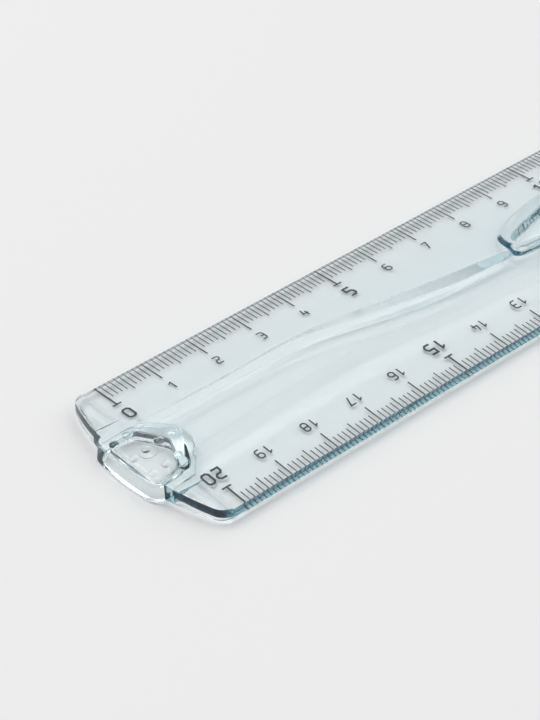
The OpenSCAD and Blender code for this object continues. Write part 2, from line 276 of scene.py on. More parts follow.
def pad_half():
    """Half of the pad's outline, from the front's middle by the far side to the point, and its mouths"""
    tip = -PAD_TIP_X + PAD_TIP_GAP
    bow_centre = np.array([tip + PAD_FRONT_R, 0])
    front_x = tip + PAD_FRONT_R - math.sqrt(PAD_FRONT_R**2 - PAD_FRONT_HALF**2)
    corner = np.array([front_x, PAD_FRONT_HALF])
    shoulder = np.array(PAD_SHOULDER)
    apex = np.array([PAD_APEX_X, 0])
    side = unit(shoulder - corner)
    inward = np.array([side[1], -side[0]])
    base = corner + inward * PAD_CORNER_R - bow_centre
    b = base @ side
    c = base @ base - (PAD_FRONT_R - PAD_CORNER_R) ** 2
    centre = bow_centre + base + side * (-b - math.sqrt(b * b - c))
    out = centre - bow_centre
    a_front = math.degrees(math.atan2(out[1], out[0]))
    a_side = math.degrees(math.atan2(-inward[1], -inward[0]))
    front = arc(bow_centre, PAD_FRONT_R, 180, a_front, 26)
    turn = arc(centre, PAD_CORNER_R, a_front, a_side, 14)
    shoulder_turn = corner_fillet(corner, shoulder, apex, PAD_SHOULDER_R, 14)
    mirrored = np.array([shoulder[0], -shoulder[1]])
    apex_turn = corner_fillet(shoulder, apex, mirrored, PAD_APEX_R, 16)[:9]
    mouths = [-np.sqrt(END_R**2 - (PAD_Y + s * MOUTH_Y) ** 2) - (TIP_X - END_R) for s in (-1, 1)]
    stops = [turn[-1]]
    for x in sorted(mouths):
        if x > turn[-1][0] + MOUTH_APART:
            stops.append(corner + side * (x - corner[0]) / side[0])
    stops.append(shoulder_turn[0])
    along = joined(*[line(a, b, PLAN_GAP) for a, b in zip(stops, stops[1:])])
    slant = line(shoulder_turn[-1], apex_turn[0], PLAN_GAP)
    points = joined(front, turn, along, shoulder_turn, slant, apex_turn)
    return points, sorted(mouths)


def pad_plan():
    """Anticlockwise outline of the left pad at the sole, its normals and leans, and its mouths' places

    The mouths are the points where the blade's end meets the pad, one on each side.
    """
    half, mouths = pad_half()
    loop = np.vstack([half * [1, -1], half[-2:0:-1]])
    normal = normals_of(loop)
    slantwise = smoothstep(normal[:, 0], *SLANTWISE)
    lean = SIDE_LEAN + (SLANT_LEAN - SIDE_LEAN) * slantwise
    elsewhere = PAD_TIP_X
    first = loop[: len(half)]
    near = np.abs(first[:, 0] - mouths[1]) + elsewhere * (first[:, 1] > -FAR_SIDE)
    far = np.abs(loop[:, 0] - mouths[0]) + elsewhere * (loop[:, 1] < FAR_SIDE)
    near_mouth, far_mouth = int(np.argmin(near)), int(np.argmin(far))
    return loop + [0, PAD_Y], normal, lean, SLANT_LEAN_ABOVE * slantwise, near_mouth, far_mouth


PAD_LOOP, PAD_NORMAL, PAD_LEAN, LEAN_ABOVE, NEAR_MOUTH, FAR_MOUTH = pad_plan()


def pad_inset(z):
    """How far the pad's wall has leaned in at heights z: more above the blade"""
    return PAD_LEAN * z + LEAN_ABOVE * np.maximum(z - FLOOR_Z, 0)


def pad_at(z, more=0.0):
    """The pad's outline at heights z, drawn in by more"""
    return PAD_LOOP - PAD_NORMAL * (pad_inset(z) + more)[:, None]


def pad_top(x, y):
    """Height of the left pad's top without its studs"""
    d = x - PAD_CENTRE_X
    return LIFT + PAD_CENTRE_T + PAD_RISE * d - PAD_BOW * d * d - PAD_CROWN * (y - PAD_Y) ** 2


# Plan of the finger grip

GRIP_RIM = [
    (0, 1), (-0.2, 0.98), (-0.4, 0.92), (-0.6, 0.81), (-0.75, 0.67), (-0.87, 0.5), (-0.95, 0.33),
    (-0.99, 0.14), (-1, -0.06), (-0.99, -0.24), (-0.965, -0.37), (-0.9, -0.45), (-0.75, -0.5),
    (-0.6, -0.59), (-0.4, -0.75), (-0.2, -0.9),
]
GRIP_RECESS = [
    (0, 0.66), (-0.2, 0.57), (-0.4, 0.43), (-0.6, 0.29), (-0.75, 0.19), (-0.86, 0.1), (-0.92, -0.02),
    (-0.93, -0.16), (-0.89, -0.28), (-0.75, -0.36), (-0.6, -0.42), (-0.4, -0.52), (-0.2, -0.61),
]
GRIP_STATIONS = 260
FAR_SIDE_Y = (0.5, 4.5)
NARROW_FILLET, FILLET_CHANGE = 0.25, 0.2
FILLET_STEPS = 5


def closed_curve(shares, count):
    """Smooth anticlockwise curve through the shares and their half turn, count points from the left nose"""
    half = np.array(shares) * [GRIP_HALF_L, GRIP_HALF_W]
    knots = np.vstack([half, -half])
    n = len(knots)
    i = np.arange(n * 12) // 12
    t = (np.arange(n * 12) % 12 / 12)[:, None]
    p0, p1, p2, p3 = (knots[(i + k) % n] for k in (-1, 0, 1, 2))
    fine = p1 + (p2 - p0) * t / 2 + (2 * p0 - 5 * p1 + 4 * p2 - p3) * t**2 / 2
    fine += (3 * p1 - p0 - 3 * p2 + p3) * t**3 / 2
    nose = int(np.argmin(fine[:, 0]))
    fine = np.roll(fine, -nose, axis=0)
    tail = int(np.argmax(fine[:, 0]))
    parts = [fine[: tail + 1], np.vstack([fine[tail:], fine[:1]])]
    result = []
    for part in parts:
        run = np.r_[0, np.cumsum(np.linalg.norm(np.diff(part, axis=0), axis=1))]
        want = np.linspace(0, run[-1], count // 2 + 1)[:-1]
        result.append(np.stack([np.interp(want, run, part[:, k]) for k in (0, 1)], axis=1))
    return np.vstack(result)


GRIP_LOOP = closed_curve(GRIP_RIM, GRIP_STATIONS)
RECESS_LOOP = closed_curve(GRIP_RECESS, GRIP_STATIONS)
GRIP_NORMAL = normals_of(GRIP_LOOP)


def far_share(points):
    """1 on the broad side of the grip's rim, 0 on its narrow side and at its noses"""
    x, y = points[:, 0], points[:, 1]
    side = np.where(x < 0, y, -y)
    return smoothstep(side, *FAR_SIDE_Y)


GRIP_FILLET = NARROW_FILLET - FILLET_CHANGE * far_share(GRIP_LOOP)


# Relief of the blade's top

# Left channel: place, far lip, knee and foot of the far wall, foot and lip of the near wall
CHANNEL = [
    (-103, 6.5, 5.9, 4.3, -4.45, -6.35, 0.5),
    (-92, 6.0, 5.5, 4.15, -3.95, -6.05, 0.5),
    (-80, 5.9, 5.4, 3.85, -3.35, -5.85, 0.5),
    (-74, 6.05, 5.6, 3.65, -3.15, -5.95, 0.45),
    (-70, 6.1, 5.5, 3.3, -3.1, -6.05, 0.35),
    (-66, 5.95, 5.05, 2.75, -3.1, -6.1, 0.22),
    (-62, 5.55, 4.35, 1.9, -3.15, -6.2, 0.14),
    (-58, 4.9, 3.3, 0.85, -3.35, -6.4, 0.1),
    (-54, 4.05, 2.25, -0.15, -3.75, -6.75, 0.09),
    (-50, 3.3, 1.35, -1.2, -4.25, -7.15, 0.08),
    (-46, 2.55, 0.5, -2.1, -4.8, -7.6, 0.07),
    (-42, 1.75, -0.3, -2.65, -5.25, -8.0, 0.06),
    (-38, 0.98, -1.05, -2.9, -5.65, -8.35, 0.05),
    (-34, 0.35, -1.6, -2.95, -5.95, -8.6, 0.04),
    (-30, -0.3, -1.95, -2.9, -6.25, -8.75, 0.04),
    (-26, -0.95, -2.15, -2.8, -6.7, -8.8, 0.04),
    (-22, -1.5, -2.4, -2.95, -7.2, -8.85, 0.04),
    (-18, -2.0, -2.8, -3.3, -7.75, -8.9, 0.04),
    (-14, -2.8, -3.4, -3.9, -8.3, -8.95, 0.04),
    (-10, -4.0, -4.5, -5.0, -8.75, -9.0, 0.04),
    (-6, -5.6, -6.0, -6.5, -8.9, -9.0, 0.04),
    (0, -7.0, -7.1, -7.2, -8.95, -9.0, 0.04),
]
FADE_FROM, FADE_TO, FADE_LIFT = -14, -4, 1.5
BEND = 0.03
STEP_SLOPE = 0.36
STEP_RISE = 0.1
STEP_BEND = 0.02


def roof(y):
    """Height of the blade's roof, without channels and lands"""
    return LIFT + EDGE_T + ROOF_SLOPE * (HALF_W - np.sqrt(y * y + ROOF_ROUND**2))


def plain_top(x, y):
    """Height of the blade's top without the fillets at its neighbours"""
    left = x <= 0
    xl = np.where(left, x, -x)
    yl = np.where(left, y, -y)
    lip, knee, foot, near_foot, near_lip, share = np.moveaxis(hermite(CHANNEL, xl), -1, 0)
    top = roof(yl)
    knee_z = FLOOR_Z + share * (roof(lip) - FLOOR_Z)
    step = smin(FLOOR_Z + STEP_SLOPE * (yl - foot), FLOOR_Z + STEP_RISE, STEP_BEND)
    gentle = step + (knee_z - FLOOR_Z - STEP_RISE) * (yl - foot) / (knee - foot)
    steep = knee_z + (roof(lip) - knee_z) * (yl - knee) / (lip - knee)
    step = smin(FLOOR_Z + STEP_SLOPE * (near_foot - yl), FLOOR_Z + STEP_RISE, STEP_BEND)
    near = step + (roof(near_lip) - FLOOR_Z - STEP_RISE) * (near_foot - yl) / (near_foot - near_lip)
    cut = smax(smax(gentle, steep, BEND), smax(near, FLOOR_Z, BEND), BEND)
    cut = cut + FADE_LIFT * smoothstep(xl, FADE_FROM, FADE_TO)
    top = smin(top, cut, BEND)
    land = smoothstep(-xl, LAND_X - LAND_BEFORE, LAND_X + LAND_AFTER)
    land = land * np.clip((np.abs(yl) - LAND_FROM_Y) / LAND_RUN_Y, 0, 1)
    return top + LAND_STEP * land


def pad_joint():
    """Blade's height round the pad's outline, rounding of the pad's top, and the points in the blade"""
    z = np.full(len(PAD_LOOP), FLOOR_Z)
    for _ in range(6):
        p = pad_at(z)
        z = plain_top(p[:, 0], p[:, 1])
    spare = pad_top(p[:, 0], p[:, 1]) - z
    in_blade = np.zeros(len(PAD_LOOP), bool)
    in_blade[NEAR_MOUTH:FAR_MOUTH + 1] = True
    within = np.clip(spare - 2 * ROUND_SPARE, LEAST_ROUND + ROUND_SPARE, PAD_ROUND)
    rounding = np.where(in_blade, within, PAD_ROUND)
    for _ in range(12):
        rounding = (np.roll(rounding, 1) + 2 * rounding + np.roll(rounding, -1)) / 4
    within = np.minimum(rounding, np.maximum(spare - ROUND_SPARE, LEAST_ROUND))
    rounding = np.where(in_blade, within, rounding)
    for _ in range(ROUNDING_RUN):
        least = np.minimum(np.roll(rounding, 1), np.roll(rounding, -1))
        rounding = np.minimum(rounding, least + ROUNDING_CHANGE)
    return z, rounding, in_blade


JOINT_Z, PAD_ROUNDING, IN_BLADE = pad_joint()
NOTCH = pad_at(JOINT_Z)[NEAR_MOUTH:FAR_MOUTH + 1]


def blade_top(points):
    """Height of the blade's top"""
    return plain_top(points[:, 0], points[:, 1])


# Mesh building

class Shape:
    """Points and faces of one piece, in millimetres"""

    def __init__(self):
        self.points = []
        self.faces = []
        self.joint = []
        self.frost = []

    def add(self, points):
        """Adds points and returns their numbers"""
        start = len(self.points)
        self.points.extend(map(tuple, points))
        return np.arange(start, len(self.points))

    def ring(self, plan, z):
        """Adds the points of a plan at heights z"""
        z = np.broadcast_to(z, len(plan))
        return self.add(np.column_stack([plan, z]))

    def face(self, ids, joint=0, frost=0):
        """Adds a face: joint 1 lets light straight through, frost 1 is matt"""
        self.faces.append([int(i) for i in ids])
        self.joint.append(joint)
        self.frost.append(frost)

    def strip(self, lower, upper, joint=None, frost=0):
        """Faces between two rings of as many points"""
        n = len(lower)
        for i in range(n):
            k = (i + 1) % n
            self.face((lower[i], lower[k], upper[k], upper[i]), 0 if joint is None else joint[i], frost)

    def cap(self, rings, inner, height):
        """Triangles inside the first ring and outside the others, over their points and inner ones"""
        plans = [np.array([self.points[i][:2] for i in ring]) for ring in rings]
        known = np.concatenate(rings)
        made = self.ring(inner, height(inner)) if len(inner) else np.array([], int)
        ids = np.concatenate([known, made])
        for tri in triangles(plans, inner):
            self.face(ids[list(tri)])

    def to_object(self, name, material, turned=False):
        """The piece as an object, turned half round for the right end"""
        mesh = bpy.data.meshes.new(name)
        bm = bmesh.new()
        layer = bm.faces.layers.float.new("joint")
        matt = bm.faces.layers.float.new("frost")
        sign = -1 if turned else 1
        verts = [bm.verts.new((sign * x * MM, sign * y * MM, z * MM)) for x, y, z in self.points]
        for ids, joint, frost in zip(self.faces, self.joint, self.frost):
            face = bm.faces.new([verts[i] for i in ids])
            face[layer] = joint
            face[matt] = frost
            face.smooth = True
        bmesh.ops.recalc_face_normals(bm, faces=bm.faces)
        mark_edges(bm, layer)
        bm.to_mesh(mesh)
        bm.free()
        mesh.materials.append(material)
        obj = bpy.data.objects.new(name, mesh)
        bpy.context.scene.collection.objects.link(obj)
        return obj


def mark_edges(bm, layer):
    """Sharp edges at steep bends, at joints and round the flat underside"""
    flat = {face: all(abs(v.co.z / MM - UNDER_Z) < LEVEL_GAP for v in face.verts) for face in bm.faces}
    for edge in bm.edges:
        kinds = {(round(face[layer]), flat[face]) for face in edge.link_faces}
        edge.smooth = len(kinds) == 1 and edge.calc_face_angle(0) < SHARP


def triangles(loops, inner):
    """Triangles over loops and inner points, inside the first loop and outside the others"""
    points = np.vstack(loops + [np.array(inner).reshape(-1, 2)])
    edges = []
    start = 0
    for loop in loops:
        n = len(loop)
        edges += [(start + i, start + (i + 1) % n) for i in range(n)]
        start += n
    made = geometry.delaunay_2d_cdt([Vector(p) for p in points], edges, [], 0, 1e-5)
    where = np.array(made[0])
    first = [ids[0] if ids else -1 for ids in made[3]]
    tris = np.array([list(f) for f in made[2]])
    middle = where[tris].mean(axis=1)
    rounded = [loop.astype(np.float32).astype(float) for loop in loops]
    keep = inside(middle, rounded[0])
    for loop in rounded[1:]:
        keep &= ~inside(middle, loop)
    return [[first[i] for i in t] for t in tris[keep]]


def lattice(low, high, gap):
    """Points of a triangular lattice over a box"""
    rows = np.arange(low[1], high[1], gap * math.sqrt(3) / 2)
    columns = np.arange(low[0], high[0], gap)
    shifts = [(i % 2) * gap / 2 for i in range(len(rows))]
    grid = [np.column_stack([columns + d, np.full(len(columns), y)]) for d, y in zip(shifts, rows)]
    return np.vstack(grid)


def thinned(points, taken, gap):
    """The points that lie further than gap from all taken ones"""
    cells = {}
    for i, (x, y) in enumerate(taken):
        cells.setdefault((int(x // gap), int(y // gap)), []).append(i)
    keep = []
    for x, y in points:
        cx, cy = int(x // gap), int(y // gap)
        near = [j for a in (-1, 0, 1) for b in (-1, 0, 1) for j in cells.get((cx + a, cy + b), ())]
        d = taken[near] - (x, y) if near else np.full((1, 2), gap)
        keep.append((d * d).sum(axis=1).min() >= gap * gap)
    return points[np.array(keep, bool)]


def beside(path, offsets):
    """Copies of an open path, moved sideways"""
    t = np.gradient(path, axis=0)
    t /= np.linalg.norm(t, axis=1)[:, None]
    side = np.stack([-t[:, 1], t[:, 0]], axis=1)
    return np.vstack([path + side * d for d in offsets])


# Blade

def end_path(level):
    """Left end of the blade's outline from the far edge to the near edge, round the pad's notch"""
    reach = END_R - CORNER_R
    rise = HALF_W - CORNER_R
    run = math.sqrt(reach**2 - rise**2)
    tilt = math.degrees(math.asin(rise / reach))
    centre = (END_R - TIP_X, 0)
    corner_x = centre[0] - run
    notch = pad_at(level)[NEAR_MOUTH:FAR_MOUTH + 1]
    far_corner = arc((corner_x, rise), CORNER_R, 90, 180 - tilt, 10)
    far_a = 180 - math.degrees(math.asin(notch[-1][1] / END_R))
    far_bow = arc(centre, END_R, 180 - tilt, far_a, 14)
    near_a = 180 - math.degrees(math.asin(notch[0][1] / END_R))
    near_bow = arc(centre, END_R, near_a, 180 + tilt, 14)
    near_corner = arc((corner_x, -rise), CORNER_R, 180 + tilt, 270, 10)
    return [joined(far_corner, far_bow)[:-1], notch[::-1], joined(near_bow, near_corner)[1:]]


def blade_loop(level):
    """Whole outline at heights level of the pad's outline, and which of its stretches are joints"""
    first, notch, last = end_path(level)
    end = np.vstack([first, notch, last])
    joint = np.r_[np.zeros(len(first)), np.ones(len(notch) - 1), np.zeros(len(last) + 1)]
    edge = line(end[-1], -end[0], EDGE_GAP)[1:-1]
    half = np.vstack([end, edge])
    joint = np.r_[joint, np.zeros(len(edge))]
    return np.vstack([half, -half]), np.r_[joint, joint]


# Places of the features: along X, across Y, and beside the channels' lines, the step, the ridge and notch
ALONG = (-102.4, -3, 0.5)
ACROSS = (-18.4, 18.41, 0.6)
BY_LINE = (-0.45, -0.28, -0.14, 0, 0.14, 0.28, 0.45)
BY_STEP = (-0.45, -0.3, -0.15, 0, 0.15, 0.3, 0.45)
BY_RIDGE = (-1.4, -0.9, -0.5, -0.2, 0.2, 0.5, 0.9, 1.4)
BY_NOTCH = (0.15, 0.35)


def blade_features():
    """Points that follow the relief of the top"""
    x = np.arange(*ALONG)
    y = np.arange(*ACROSS)
    rows = hermite(CHANNEL, x)
    side = PAD_NORMAL[NEAR_MOUTH:FAR_MOUTH + 1]
    sets = [NOTCH + side * d for d in BY_NOTCH]
    sets += [beside(np.column_stack([x, rows[:, k]]), BY_LINE) for k in range(5)]
    sets += [np.column_stack([np.full(len(y), -LAND_X + d), y]) for d in BY_STEP]
    sets += [np.column_stack([x, np.full(len(x), d)]) for d in BY_RIDGE]
    half = np.vstack(sets)
    return np.vstack([half, -half])


def build_blade(material):
    """Blade with its notches, relief, the hole for the grip and the hollows under the lands"""
    shape = Shape()
    top_loop, joint = blade_loop(JOINT_Z)
    low_loop, _ = blade_loop(np.full(len(PAD_LOOP), UNDER_Z))
    lap = normals_of(top_loop) * (JOINT_LAP / 2) * np.maximum(joint, np.roll(joint, 1))[:, None]
    top_z = blade_top(top_loop)
    top = shape.ring(top_loop + lap, top_z)
    low = shape.ring(low_loop + lap, UNDER_Z)
    shape.strip(low, top, joint=joint)

    # Fillet round the grip and the hole below it
    hole = []
    for k in range(FILLET_STEPS + 1):
        a = math.pi / 2 * k / FILLET_STEPS
        plan = GRIP_LOOP + GRIP_NORMAL * (GRIP_FILLET * (1 - math.sin(a)))[:, None]
        z = plain_top(plan[:, 0], plan[:, 1]) + GRIP_FILLET * (1 - math.cos(a))
        hole.append(shape.ring(plan - GRIP_NORMAL * JOINT_LAP / 2 * (k == FILLET_STEPS), z))
    for a, b in zip(hole, hole[1:]):
        shape.strip(a, b)
    hole_low = shape.ring(GRIP_LOOP - GRIP_NORMAL * JOINT_LAP / 2, UNDER_Z)
    shape.strip(hole[-1], hole_low, joint=np.ones(len(GRIP_LOOP)))
    rim = GRIP_LOOP + GRIP_NORMAL * GRIP_FILLET[:, None]

    # Top
    features = blade_features()
    features = features[inside(features, top_loop) & ~inside(features, rim)]
    clear = np.minimum(nearest(features, top_loop), nearest(features, rim))
    features = self_thinned(features[clear > FEATURE_RIM], FEATURE_APART)
    grid = lattice((-TIP_X, -HALF_W), (TIP_X, HALF_W), BLADE_GRID)
    grid = grid[inside(grid, top_loop) & ~inside(grid, rim)]
    grid = grid[np.minimum(nearest(grid, top_loop), nearest(grid, rim)) > BLADE_GRID_RIM]
    grid = thinned(grid, features, BLADE_GRID_APART)
    shape.cap([top, hole[0]], np.vstack([features, grid]), blade_top)
    hollows(shape, low, hole_low)
    obj = shape.to_object("clear_blade", material)
    round_edges(obj)
    return obj


def self_thinned(points, gap):
    """Points of a list that lie further than gap from all that come before them"""
    cells = {}
    keep = []
    for i, (x, y) in enumerate(points):
        cx, cy = int(x // gap), int(y // gap)
        near = [j for a in (-1, 0, 1) for b in (-1, 0, 1) for j in cells.get((cx + a, cy + b), ())]
        if any((points[j][0] - x) ** 2 + (points[j][1] - y) ** 2 < gap * gap for j in near):
            continue
        cells.setdefault((cx, cy), []).append(i)
        keep.append(i)
    return points[keep]


def hollow_plan(inset):
    """Outline of the space under the far land of the left end, drawn in by inset"""
    edge = SKIRT + inset
    radius = END_R - edge
    centre = np.array([END_R - TIP_X, 0])
    low_y = HOLLOW_Y + inset
    fillet = CORNER_R - edge
    reach = radius - fillet
    rise = HALF_W - CORNER_R
    run = math.sqrt(reach**2 - rise**2)
    tilt = math.degrees(math.asin(rise / reach))
    start_a = 180 - math.degrees(math.asin(low_y / radius))
    corner = arc((centre[0] - run, rise), fillet, 90, 180 - tilt, 8)
    bow = arc(centre, radius, 180 - tilt, start_a, 12)
    inner_x = HOLLOW_X - inset
    base = np.linspace(bow[-1], (inner_x, low_y), 20)
    back = np.linspace((inner_x, low_y), (inner_x, HALF_W - edge), 20)
    side = np.linspace(back[-1], corner[0], 3)
    return joined(corner, bow, base, back, side)[:-1]


def hollow_roof(points):
    """Height of the ceiling under a land"""
    depth = plain_top(points[:, 0], points[:, 1]) - SHELL_T - UNDER_Z
    ramp = np.clip((np.abs(points[:, 0]) + HOLLOW_X) / HOLLOW_RAMP, 0, 1)
    return UNDER_Z + np.maximum(depth, LEAST_DEPTH) * np.maximum(ramp, LEAST_DEPTH)


def hollows(shape, low, hole_low):
    """The blade's underside, with a hollow under each land"""
    rims = []
    for turn in ([1, 1], [1, -1], [-1, 1], [-1, -1]):
        rings = []
        for inset, share in HOLLOW_EDGE:
            plan = hollow_plan(inset) * turn
            rings.append(shape.ring(plan, UNDER_Z + share * (hollow_roof(plan) - UNDER_Z)))
        for a, b in zip(rings, rings[1:]):
            shape.strip(a, b)
        inner = lattice((-TIP_X, -HALF_W), (TIP_X, HALF_W), HOLLOW_GRID)
        inner = inner[inside(inner, plan)]
        inner = inner[nearest(inner, plan) > HOLLOW_GRID_RIM]
        shape.cap([rings[-1]], inner, hollow_roof)
        rims.append(rings[0])
    shape.cap([low, hole_low] + rims, [], lambda p: np.full(len(p), UNDER_Z))


# Upward part of the normals of an upright and a level face
UPRIGHT, LEVEL = 0.02, 0.9


def round_edges(obj):
    """Small rounding along the blade's outer edges"""
    bm = bmesh.new()
    bm.from_mesh(obj.data)
    layer = bm.faces.layers.float["joint"]
    sharp = []
    for edge in bm.edges:
        if len(edge.link_faces) != 2 or any(face[layer] > 0.5 for face in edge.link_faces):
            continue
        a, b = edge.link_faces
        tilts = sorted((abs(a.normal.z), abs(b.normal.z)))
        z = edge.verts[0].co.z / MM
        under_rim = all(abs(v.co.z / MM - UNDER_Z) < LEVEL_GAP for v in edge.verts)
        if tilts[0] < UPRIGHT and tilts[1] > LEVEL and (z > LIFT + 1 or under_rim):
            sharp.append(edge)
    bmesh.ops.bevel(
        bm, geom=sharp, offset=EDGE_ROUND * MM, segments=3, profile=0.5, affect="EDGES", clamp_overlap=True
    )
    for face in bm.faces:
        face.smooth = True
    mark_edges(bm, layer)
    bm.to_mesh(obj.data)
    bm.free()


# End pads

# Half of the pocket's outline, then its wall, studs, the round mark in its ceiling and point spacing
POCKET = [(-108.2, 0), (-108.2, 6.0), (-103.15, 5.7), (-100.3, 0)]
POCKET_CENTRE_X = -104.5
POCKET_CORNER_R = 1.0
POCKET_BOW = 0.1
POCKET_ROOF = 1.9
POCKET_ROUND = 0.6
POCKET_STEPS = 8
POCKET_DRAFT = 14
POCKET_NARROWS = 0.3
SOLE_ROUND = 0.22
STUD_R = 0.85
STUD_H = 0.3
STUD_BALL = (STUD_R**2 + STUD_H**2) / (2 * STUD_H)
STUD_EDGE, STUD_FOOT = 0.03, 1.3
STUD_FIRST_X, STUD_ROW, STUD_COLUMN, STUD_POINT_X = -108.2, 2.68, 4.73, -100.16
STUDS = [(STUD_FIRST_X + STUD_ROW * row, STUD_COLUMN * col) for row in range(3) for col in (-1, 0, 1)]
STUDS += [(STUD_POINT_X, 0)]
STUD_SHARES = (0.3, 0.55, 0.75, 0.88, 0.96, 1.04, 1.15)
STUD_POINTS = 28
STUD_RIM = 0.08
RING_R = 1.56
RING_X, RING_Y = -104.7, 0.3
RING_DEPTH, RING_EDGE = 0.05, 0.08
RING_OFFSETS = (-0.12, -0.06, 0, 0.06, 0.12)
RING_POINTS = 40
PAD_ROUND_STEPS = 10
FREE_WALL, ABOVE_JOINT, LATEST_START, ROUNDING_REACH = 0.6, 0.02, 0.95, 0.9
SOLE_STEPS = 3
PAD_GRID, PAD_GRID_APART, PAD_GRID_Y = 0.3, 0.2, 12
CEILING_GRID, CEILING_GRID_APART = 0.5, 0.25


def studs_z(points):
    """How far the studs rise above the pad's top"""
    x, y = points[:, 0], points[:, 1] - PAD_Y
    rise = np.zeros(len(points))
    for sx, sy in STUDS:
        r = np.hypot(x - sx, y - sy)
        ball = np.sqrt(np.maximum(STUD_BALL**2 - r * r, 0)) - (STUD_BALL - STUD_H)
        rise = np.maximum(rise, np.where(r < STUD_R * STUD_FOOT, smax(ball, 0, STUD_EDGE), 0))
    return rise


def pad_surface(points):
    """Height of the pad's top with its studs"""
    return pad_top(points[:, 0], points[:, 1]) + studs_z(points)


def pocket_ceiling(points):
    """Height of the pocket's ceiling, with the round mark in it"""
    x, y = points[:, 0], points[:, 1] - PAD_Y
    away = np.hypot(x - RING_X, y - RING_Y)
    mark = RING_DEPTH * smoothstep(away, RING_R - RING_EDGE, RING_R + RING_EDGE)
    return pad_top(x, points[:, 1]) - POCKET_ROOF - RING_DEPTH + mark


def pocket_plan():
    """The pocket's outline at its ceiling, with a point for each point of the pad's outline"""
    knots = [np.array(p) for p in POCKET]
    knots += [p * [1, -1] for p in knots[-2:0:-1]]
    threes = zip(knots, knots[1:], knots[2:] + knots[:1])
    fine = joined(*[corner_fillet(a, p, b, POCKET_CORNER_R, POCKET_STEPS) for a, p, b in threes])
    centre = np.array([POCKET_CENTRE_X, 0])
    angle = np.arctan2(fine[:, 1], fine[:, 0] - centre[0])
    order = np.argsort(angle)
    fine, angle = fine[order], angle[order]
    away = PAD_LOOP - [centre[0], PAD_Y]
    want = np.arctan2(away[:, 1], away[:, 0])
    result = []
    for w in want:
        k = np.searchsorted(angle, w) % len(fine)
        a, b = fine[k - 1], fine[k]
        ray = np.array([math.cos(w), math.sin(w)])
        across = np.array([-ray[1], ray[0]])
        t = (a - centre) @ across / ((a - b) @ across)
        p = a + (b - a) * t
        near, second = sorted(math.dist(p, q) for q in knots[1:])[:2]
        result.append(p + ray * POCKET_BOW * 4 * near * second / (near + second) ** 2)
    return np.array(result) + [0, PAD_Y]


def circles(centres, radii, count):
    """Points on circles of some radii round each centre, and the centres"""
    a = np.linspace(0, 2 * np.pi, count, endpoint=False)
    ring = np.stack([np.cos(a), np.sin(a)], axis=1)
    return np.vstack([np.array(c) + ring * r for c in centres for r in radii] + [np.array(centres)])


